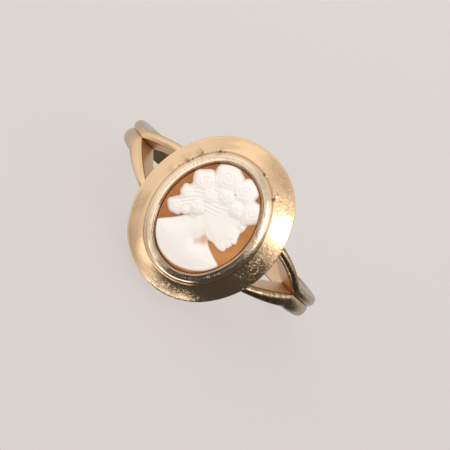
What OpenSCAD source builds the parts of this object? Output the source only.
// Cameo ring, lying on its side on a flat surface, its head towards -Y.
// It is built round the finger hole's axis first, with that axis along Z, and laid down last.

/* [Finger hole] */
// Inside diameter of the ring
finger_d = 17.3; // [15:0.1:20]

/* [Shank] */
// Thickness of the shank at the back
shank_t_back = 1.2; // [0.9:0.05:1.6]
// Thickness of the shank at its sides
shank_t_side = 1.4; // [1.1:0.05:1.8]
// Width of the shank at the back
shank_w_back = 1.7; // [1.3:0.05:2.4]
// Width of the shank where it forks
shank_w_fork = 2; // [1.6:0.05:2.6]
// Depth of the groove between the two ridges, at the back
groove_back = 0.12; // [0.04:0.01:0.2]
// Depth of that groove at the fork
groove_fork = 0.32; // [0.15:0.01:0.45]
// How far a ridge rounds down to its side wall
ridge_round = 0.38; // [0.2:0.02:0.6]

/* [Shoulders] */
// Length of a branch, from the fork to the flange's edge
branch_l = 3.8; // [2.5:0.1:5]
// Width of a branch at the flange's edge
branch_w = 0.8; // [0.6:0.05:1]
// Distance between the middles of two branches at the flange's edge
branch_spread = 3.8; // [3:0.1:4.8]
// How far a branch runs in under the flange
branch_tuck = 0.9; // [0.5:0.05:1.2]
// How far the top of a branch is sunk into the flange
branch_bite = 0.12; // [0.06:0.01:0.2]
// How far a branch's end is bevelled back from the finger hole
branch_bevel = 0.35; // [0.2:0.05:0.6]

/* [Flange] */
// Height of the flange's edge above the finger hole
head_gap = 0.1; // [0.05:0.05:0.6]
// Width of the flange outside the collar
flange_w = 1.47; // [1:0.05:2.2]
// How far the flange falls from the collar to its edge
flange_drop = 0.95; // [0.6:0.05:1.3]
// Thickness of the flange
flange_t = 0.35; // [0.25:0.05:0.5]
// How far the flange's top is crowned
flange_crown = 0.06; // [0:0.01:0.12]

/* [Collar and seat] */
// How far the collar and the shell sit askew on the flange, in degrees
setting_turn = 5; // [-8:0.5:8]
// Thickness of the collar's wall
collar_t = 0.42; // [0.3:0.02:0.6]
// How far the lip is rubbed over the shell's edge
lip_over = 0.38; // [0.3:0.02:0.5]
// Thickness of the lip at its inner edge
lip_t = 0.14; // [0.08:0.02:0.24]
// Width of the bright inner lip, up to the fine groove
lip_w = 0.22; // [0.16:0.02:0.26]
// Depth of the fine groove in the collar's top
lip_groove = 0.06; // [0.02:0.01:0.1]
// Clearance between the shell and the gold
fit_gap = 0.05; // [0.02:0.01:0.08]
// Width of the seat that the shell lies on
seat_w = 0.9; // [0.5:0.05:1.5]
// Thickness of the seat
seat_t = 0.3; // [0.2:0.05:0.5]

/* [Shell] */
// Length of the oval shell
stone_l = 10; // [9:0.5:13]
// Width of the oval shell
stone_w = 8; // [6:0.5:9]
// Height of the shell's upright edge
stone_edge = 0.35; // [0.25:0.05:0.6]
// Slope of the bevel under the lip, in degrees
bevel_a = 36; // [28:1:44]
// How far the ground rises from its side to its middle
ground_rise = 0.12; // [0.06:0.01:0.25]

/* [Carved figure] */
// Gap between the figure and the lip
figure_gap = 0.07; // [0.03:0.01:0.15]
// Height of the neck and shoulders above the ground
bust_h = 0.42; // [0.3:0.02:0.5]
// Height of the face above the ground
face_h = 0.52; // [0.4:0.02:0.6]
// Height of the hair above the ground
hair_h = 0.6; // [0.5:0.02:0.7]
// Height of the tallest curl above the ground
curl_h = 0.76; // [0.6:0.02:0.9]

/* [Hidden] */
GOLD = [0.86, 0.68, 0.44];
SHELL_GROUND = [0.72, 0.42, 0.2];
SHELL_WHITE = [0.96, 0.93, 0.88];
FN = 64;
DOME_FN = 256;
SHANK_STEPS = 40;
BRANCH_STEPS = 10;
RIDGE_STEP = 30;
CROWN_STEPS = 5;
OUTLINE_STEPS = 3;
COLLAR_STEP = 15;
TUCK_TURNS = 6;
// Metal left inside the band before the finger hole is cut
HOLE_WASTE = 0.2;
// How late a branch spreads outwards, where 1 is a straight line
SPREAD_POWER = 1.2;
// Share of the collar's height that stays upright below its rounding
COLLAR_UPRIGHT = 0.3;
// Share of an oval solid's narrowest level that its round core fills
CORE_SHARE = 0.9;

// The oval has four arcs, two ends and two sides. The line through the centres of an end and a side, where
// the two arcs meet smoothly, is the long side of a right triangle with sides of 3, 4 and 5 parts.
half_l = stone_l / 2;
half_w = stone_w / 2;
oval_part = (half_l - half_w) / 2;
end_y = 3 * oval_part;
side_x = 4 * oval_part;
end_r = half_l - end_y;
side_r = half_w + side_x;
side_a = atan2(3, 4);

// Heights are measured from the finger hole's axis
bore_r = finger_d / 2;
plate_z = bore_r + head_gap + flange_drop;
seat_z = plate_z + seat_t;
stone_z = seat_z + fit_gap;
girdle_z = stone_z + stone_edge;
bevel_m = tan(bevel_a);
lip_lift = fit_gap / cos(bevel_a);
lip_z = girdle_z + bevel_m * lip_over + lip_lift;
wall_z = girdle_z - bevel_m * fit_gap + lip_lift;
collar_z = lip_z + lip_t;
flange_z = plate_z + flange_t;
collar_u = fit_gap + collar_t;
edge_u = collar_u + flange_w;
groove_u = lip_w - lip_over;
// The flange and the seat end in the middle of the collar's wall, so that the collar may sit askew
join_u = (fit_gap + collar_u) / 2;

// The ground is a shallow dome, highest at the shell's middle
field_u = -lip_over - figure_gap;
field_w = half_w + field_u;
field_l = half_l + field_u;
ground_z = girdle_z - bevel_m * field_u + ground_rise;
dome_r = (field_w * field_w + ground_rise * ground_rise) / (2 * ground_rise);
dome_z = ground_z - dome_r;
figure_z = ground_z + 2 * curl_h;

// Where the branches reach the flange's edge, and the fork behind it
spread_z = branch_spread / 2;
reach_x = sqrt(pow(side_r + edge_u, 2) - spread_z * spread_z) - side_x;
reach_h = plate_z - flange_drop + branch_bite;
reach_r = norm([reach_x, reach_h]);
reach_a = 180 - atan2(reach_x, reach_h);
fork_a = reach_a - branch_l / (bore_r + shank_t_side / 2) * 180 / PI;
tuck_a = reach_a + branch_tuck / reach_r * 180 / PI;

function mix(a, b, t) = a + (b - a) * t;
function ease(t) = t * t * (3 - 2 * t);

// How far a point of the head lies outside the shell's edge
function outside(x, y) = abs(y) * side_x < end_y * (abs(x) + side_x)
    ? norm([abs(x) + side_x, y]) - side_r
    : norm([x, abs(y) - end_y]) - end_r;

// Height of the flange's underside at a distance outside the shell's edge
function flange_under(u) = plate_z - flange_drop * (u - collar_u) / flange_w;

// Radius of a branch's top where it follows the flange's underside
function tucked_r(a, z, r, turns) = turns == 0
    ? r
    : tucked_r(a, z, -(flange_under(outside(r * sin(a), z)) + branch_bite) / cos(a), turns - 1);

// Radius of the band's top at an angle from the back of the ring
function top_r(a) = abs(a) < 90
    ? bore_r + mix(shank_t_back, shank_t_side, pow(sin(a), 2))
    : abs(a) < reach_a
        ? mix(bore_r + shank_t_side, reach_r, ease((abs(a) - 90) / (reach_a - 90)))
        : tucked_r(a, branch_mid(a), reach_r, TUCK_TURNS);

// Half the width of the undivided shank
function shank_half(a) = mix(shank_w_back, shank_w_fork, abs(a) / fork_a) / 2;
function groove_at(a) = mix(groove_back, groove_fork, abs(a) / fork_a);

function branch_a(step) = mix(fork_a, tuck_a, step / BRANCH_STEPS);

// Share of the way from the fork to the flange's edge, and a branch's two sides there
function branch_share(a) = (a - fork_a) / (reach_a - fork_a);
function branch_in(a) = branch_share(a) * (spread_z - branch_w / 2);
function branch_out(a) = mix(shank_w_fork / 2, spread_z + branch_w / 2, pow(branch_share(a), SPREAD_POWER));
function branch_mid(a) = (branch_in(a) + branch_out(a)) / 2;

// Rounded top of one ridge, as radius and height, from its outer side to its inner side
function ridge(r, z_in, z_out, drop_in, drop_out, last) = [
    for (t = [0:RIDGE_STEP:last])
    [r - (t < 90 ? drop_out : drop_in) * (1 - sin(t)), mix(z_in, z_out, (1 + cos(t)) / 2)]
];

function upright(p, a) = [for (q = p) [q.x * sin(a), q.x * cos(a), q.y]];
function pick(p, order, way) = [for (k = order) [p[k].x, way * p[k].y]];

// A half section runs up its outer side, over the ridge and down its inner side: HALF points in all
HALF = 180 / RIDGE_STEP + 3;
UPPER = [for (k = [0:HALF - 1]) k];
LOWER = concat([for (k = [HALF - 2:-1:0]) k], [HALF - 1]);
WHOLE = 2 * HALF - 2;

// Half section of a band from z_in to z_out, between an inner radius and its rounded top
function half_section(inner, top, z_in, z_out, drop_in) = concat(
    [[inner, z_out]],
    ridge(top, z_in, z_out, drop_in, ridge_round, 180),
    [[inner, z_in]]
);

// Whole section of the shank: the upper half, then its mirror image, without the points that they share
function shank_section(a) = let (
    p = half_section(bore_r - HOLE_WASTE, top_r(a), 0, shank_half(a), groove_at(a))
) concat(
    pick(p, [for (k = [0:HALF - 2]) k], 1),
    pick(p, [for (k = [HALF - 3:-1:0]) k], -1),
    [p[HALF - 1]]
);

// Section of one branch, a number of steps from the fork. Its end is bevelled back from the finger hole.
function branch_section(step) = let (
    a = branch_a(step),
    inner = step == BRANCH_STEPS ? branch_bevel : -HOLE_WASTE,
    drop = mix(groove_fork, ridge_round, min(1, branch_share(a)))
) half_section(bore_r + inner, top_r(a), branch_in(a), branch_out(a), drop);

// Smooth closed curve through the rows of a table, whose columns are shares of the figure's half sizes
function curve_at(a, b, c, d, t) =
    (2 * b + (c - a) * t + (2 * a - 5 * b + 4 * c - d) * t * t + (3 * b - a - 3 * c + d) * t * t * t) / 2;
function smooth(p) = let (n = len(p)) [
    for (i = [0:n - 1]) for (k = [0:OUTLINE_STEPS - 1])
    let (q = curve_at(p[(i + n - 1) % n], p[i], p[(i + 1) % n], p[(i + 2) % n], k / OUTLINE_STEPS))
    [q.x * field_w, q.y * field_l]
];

// Neck and shoulders, columns: share across, share up
BUST = [
    [-0.34, 0.04], [-0.35, -0.19], [-0.41, -0.33], [-0.56, -0.47], [-0.72, -0.6], [-0.67, -0.69],
    [-0.57, -0.77], [-0.35, -0.88], [-0.1, -0.945], [0.15, -0.945], [0.3, -0.92], [0.5, -0.86],
    [0.69, -0.745], [0.82, -0.61], [0.87, -0.44], [0.68, -0.385], [0.49, -0.33], [0.36, -0.26],
    [0.3, -0.05]
];
// Face in profile and the head behind it, columns: share across, share up
FACE = [
    [0.65, 0.515], [0.705, 0.405], [0.74, 0.32], [0.742, 0.245], [0.715, 0.21], [0.772, 0.127],
    [0.85, 0.053], [0.834, 0.022], [0.766, 0.007], [0.789, -0.03], [0.755, -0.057], [0.777, -0.084],
    [0.732, -0.119], [0.749, -0.163], [0.7, -0.213], [0.59, -0.226], [0.45, -0.215], [0.34, -0.24],
    [0.17, -0.2], [-0.17, -0.11], [-0.31, 0.09], [-0.28, 0.4], [0.11, 0.615]
];
// Hair drawn back from the forehead to the nape, columns: share across, share up
HAIR = [
    [0.75, 0.44], [0.77, 0.55], [0.59, 0.7], [0.17, 0.85], [-0.28, 0.83], [-0.62, 0.59],
    [-0.77, 0.26], [-0.79, -0.04], [-0.8, -0.24], [-0.74, -0.355], [-0.56, -0.31], [-0.37, -0.19],
    [-0.2, -0.08], [0.06, 0], [0.21, 0.1], [0.24, 0.24], [0.37, 0.37], [0.56, 0.43]
];
// Curls, columns: share across, share up, radius as a share across, share of the tallest curl
CURLS = [
    [-0.69, -0.2, 0.21, 0.84], [-0.7, 0.07, 0.2, 0.84], [-0.605, 0.405, 0.295, 0.92],
    [-0.31, 0.715, 0.35, 0.94], [0.155, 0.725, 0.34, 0.97], [0.585, 0.575, 0.28, 0.92],
    [-0.34, 0.02, 0.22, 0.94], [-0.31, 0.27, 0.22, 0.98], [-0.05, 0.48, 0.23, 1], [0.29, 0.45, 0.22, 0.98]
];

// Profiles of the head, columns: distance outside the shell's edge, height
FLANGE_TOP = [
    for (k = [CROWN_STEPS:-1:0])
    let (t = k / CROWN_STEPS)
    [collar_u + flange_w * t, flange_z - flange_drop * t + 4 * flange_crown * t * (1 - t)]
];
FLANGE_PROFILE = concat(
    [[join_u, plate_z], [collar_u, plate_z], [edge_u, flange_under(edge_u)]],
    FLANGE_TOP,
    [[join_u, flange_z]]
);
crest_u = groove_u + lip_groove;
lip_bevel = lip_t / 3;
round_z = mix(flange_z, collar_z, COLLAR_UPRIGHT);
COLLAR_ROUND = [
    for (t = [0:COLLAR_STEP:90]) [mix(crest_u, collar_u, cos(t)), mix(round_z, collar_z, sin(t))]
];
COLLAR_PROFILE = concat(
    [[fit_gap, plate_z], [join_u, plate_z], [collar_u, (plate_z + flange_z) / 2]],
    COLLAR_ROUND,
    [
        [groove_u, collar_z - lip_groove],
        [groove_u - lip_groove, collar_z],
        [-lip_over + lip_bevel, collar_z],
        [-lip_over, collar_z - lip_bevel],
        [-lip_over, lip_z],
        [fit_gap, wall_z]
    ]
);
SEAT_PROFILE = [[-seat_w, plate_z], [join_u, plate_z], [join_u, seat_z], [-seat_w, seat_z]];
STONE_PROFILE = [
    [0, stone_z], [0, girdle_z], [2 * field_u, girdle_z - 2 * bevel_m * field_u]
];

// Laid down, the ring touches the surface with the flange's lower edge and the shank's back
LOW_FRONT = [for (p = FLANGE_PROFILE) [-p.y, -half_l - p.x]];
LOW_BACK = [for (p = shank_section(0)) [p.x, p.y]];
lie_slope = max([
    for (f = LOW_FRONT) min([for (b = LOW_BACK) (b.y - f.y) / (b.x - f.x)])
]);
lie_a = atan(lie_slope);
function laid_y(p) = p.x * cos(lie_a) + p.y * sin(lie_a);
function laid_z(p) = p.y * cos(lie_a) - p.x * sin(lie_a);
setting_y = end_y * cos(setting_turn) + end_r;
HEAD_FRONT = concat(
    [for (p = COLLAR_PROFILE) [-p.y, -setting_y - p.x]],
    [for (p = smooth(BUST))
        [-dome_at(p.x, p.y, bust_h), p.y * cos(setting_turn) + p.x * sin(setting_turn)]]
);
front_y = min([for (p = HEAD_FRONT) laid_y(p)]);
back_y = max([for (p = LOW_BACK) laid_y(p)]);
floor_z = min([for (p = LOW_FRONT) laid_z(p)]);

// Height of the dome, raised by a step, above a point of the shell
function dome_at(x, y, rise) = dome_z + sqrt(pow(dome_r + rise, 2) - x * x - y * y);

// Repeats a piece in the four quarters of the oval
module quarters() {
    for (x = [0, 1]) for (y = [0, 1]) mirror([x, 0, 0]) mirror([0, y, 0]) children();
}

// Turns a profile along the oval. Each quarter is half a side and half an end.
module oval_band() {
    quarters() {
        translate([-side_x, 0, 0]) rotate_extrude(angle = side_a, $fn = FN)
            translate([side_r, 0]) children();
        translate([0, end_y, 0]) rotate_extrude(angle = 90 - side_a, start = side_a, $fn = FN)
            translate([end_r, 0]) children();
    }
}

// Solid oval whose edge follows a profile, listed from its bottom to its top. A core joins its quarters.
module oval_solid(profile) {
    low = profile[0].y;
    high = profile[len(profile) - 1].y;
    narrow = half_w + min([for (p = profile) p.x]);
    translate([0, 0, low]) cylinder(r = CORE_SHARE * narrow, h = high - low, $fn = FN);
    quarters() {
        translate([-side_x, 0, 0]) rotate_extrude(angle = side_a, $fn = FN)
            translate([side_r, 0]) polygon(concat([[-side_r, low]], profile, [[-side_r, high]]));
        translate([0, end_y, 0]) rotate_extrude(angle = 90 - side_a, start = side_a, $fn = FN)
            translate([end_r, 0]) polygon(concat([[-end_r, low]], profile, [[-end_r, high]]));
    }
}

// Triangles between two rings of points
function skin(a, b) = let (n = len(a)) [
    for (k = [0:n - 1])
    each [[a[k], b[(k + 1) % n], b[k]], [a[k], a[(k + 1) % n], b[(k + 1) % n]]]
];
function ring_of(first, n) = [for (k = [0:n - 1]) first + k];
function turned(p) = [for (k = [len(p) - 1:-1:0]) p[k]];

// The four branches, columns: side of the ring, 1 for the upper branch and -1 for the lower one
BRANCHES = [[1, 1], [1, -1], [-1, 1], [-1, -1]];

// Points of a branch's section, a number of steps from the fork
function branch_points(row, step) = upright(
    pick(branch_section(step), row[1] > 0 ? UPPER : LOWER, row[1]),
    row[0] * branch_a(step)
);

// Where each ring of a branch starts in the list of points, from the fork on
function branch_rings(q) = let (
    row = BRANCHES[q],
    fork = row[0] > 0 ? SHANK_STEPS * WHOLE : 0,
    first = (SHANK_STEPS + 1) * WHOLE + q * BRANCH_STEPS * HALF
) concat(
    [row[1] > 0 ? concat(ring_of(fork, HALF - 1), [fork + WHOLE - 1]) : ring_of(fork + HALF - 2, HALF)],
    [for (i = [0:BRANCH_STEPS - 1]) ring_of(first + i * HALF, HALF)]
);
function branch_faces(q) = let (
    rings = BRANCHES[q][0] > 0 ? branch_rings(q) : turned(branch_rings(q))
) concat(
    [for (i = [0:BRANCH_STEPS - 1]) each skin(rings[i], rings[i + 1])],
    [BRANCHES[q][0] > 0 ? rings[BRANCH_STEPS] : turned(rings[0])]
);

// Shank and shoulders: the shank's two ends each part into two branches
module band() {
    polyhedron(
        points = concat(
            [for (i = [0:SHANK_STEPS])
                let (a = mix(-fork_a, fork_a, i / SHANK_STEPS))
                each upright(shank_section(a), a)],
            [for (row = BRANCHES) for (i = [1:BRANCH_STEPS]) each branch_points(row, i)]
        ),
        faces = concat(
            [for (i = [0:SHANK_STEPS - 1])
                each skin(ring_of(i * WHOLE, WHOLE), ring_of((i + 1) * WHOLE, WHOLE))],
            [for (q = [0:3]) each branch_faces(q)]
        )
    );
}

module finger_hole() {
    cylinder(r = bore_r, h = 2 * stone_l, center = true, $fn = 2 * FN);
}

// The head's own upright axis is turned to face -Y
module head_way() {
    rotate([90, 0, 0]) children();
}

// The collar and what it holds sit a little askew on the flange
module askew() {
    head_way() rotate([0, 0, setting_turn]) children();
}

module flange() {
    head_way() oval_band() polygon(FLANGE_PROFILE);
}

module collar() {
    askew() oval_band() polygon(COLLAR_PROFILE);
}

module seat() {
    askew() oval_band() polygon(SEAT_PROFILE);
}

// Dome of the ground, raised by a step
module dome(rise) {
    translate([0, 0, dome_z]) rotate([90, 0, 0]) sphere(r = dome_r + rise, $fn = DOME_FN);
}

// One level of the figure: an outline raised above the ground
module raised(outline, rise) {
    intersection() {
        translate([0, 0, girdle_z]) linear_extrude(figure_z - girdle_z) polygon(smooth(outline));
        dome(rise);
    }
}

// A curl is a round boss that stands on the ground
module curl(row) {
    x = row[0] * field_w;
    y = row[1] * field_l;
    r = row[2] * field_w;
    rise = row[3] * curl_h;
    ball = (r * r + rise * rise) / (2 * rise);
    translate([x, y, dome_at(x, y, rise) - ball]) sphere(r = ball, $fn = FN);
}

module figure() {
    color(SHELL_WHITE) intersection() {
        union() {
            raised(BUST, bust_h);
            raised(FACE, face_h);
            raised(HAIR, hair_h);
            for (row = CURLS) curl(row);
        }
        oval_solid([[field_u, girdle_z], [field_u, figure_z]]);
    }
}

module shell_plate() {
    color(SHELL_GROUND) intersection() {
        oval_solid(STONE_PROFILE);
        dome(0);
    }
}

// Lays the ring down on its side, with the origin under the middle of its box
module lying() {
    translate([0, -(front_y + back_y) / 2, -floor_z]) rotate([-lie_a, 0, 0]) children();
}

module ring_mount() {
    lying() color(GOLD) difference() {
        union() {
            band();
            flange();
            collar();
            seat();
        }
        finger_hole();
    }
}

module shell_cameo() {
    lying() askew() {
        shell_plate();
        figure();
    }
}

ring_mount();
shell_cameo();
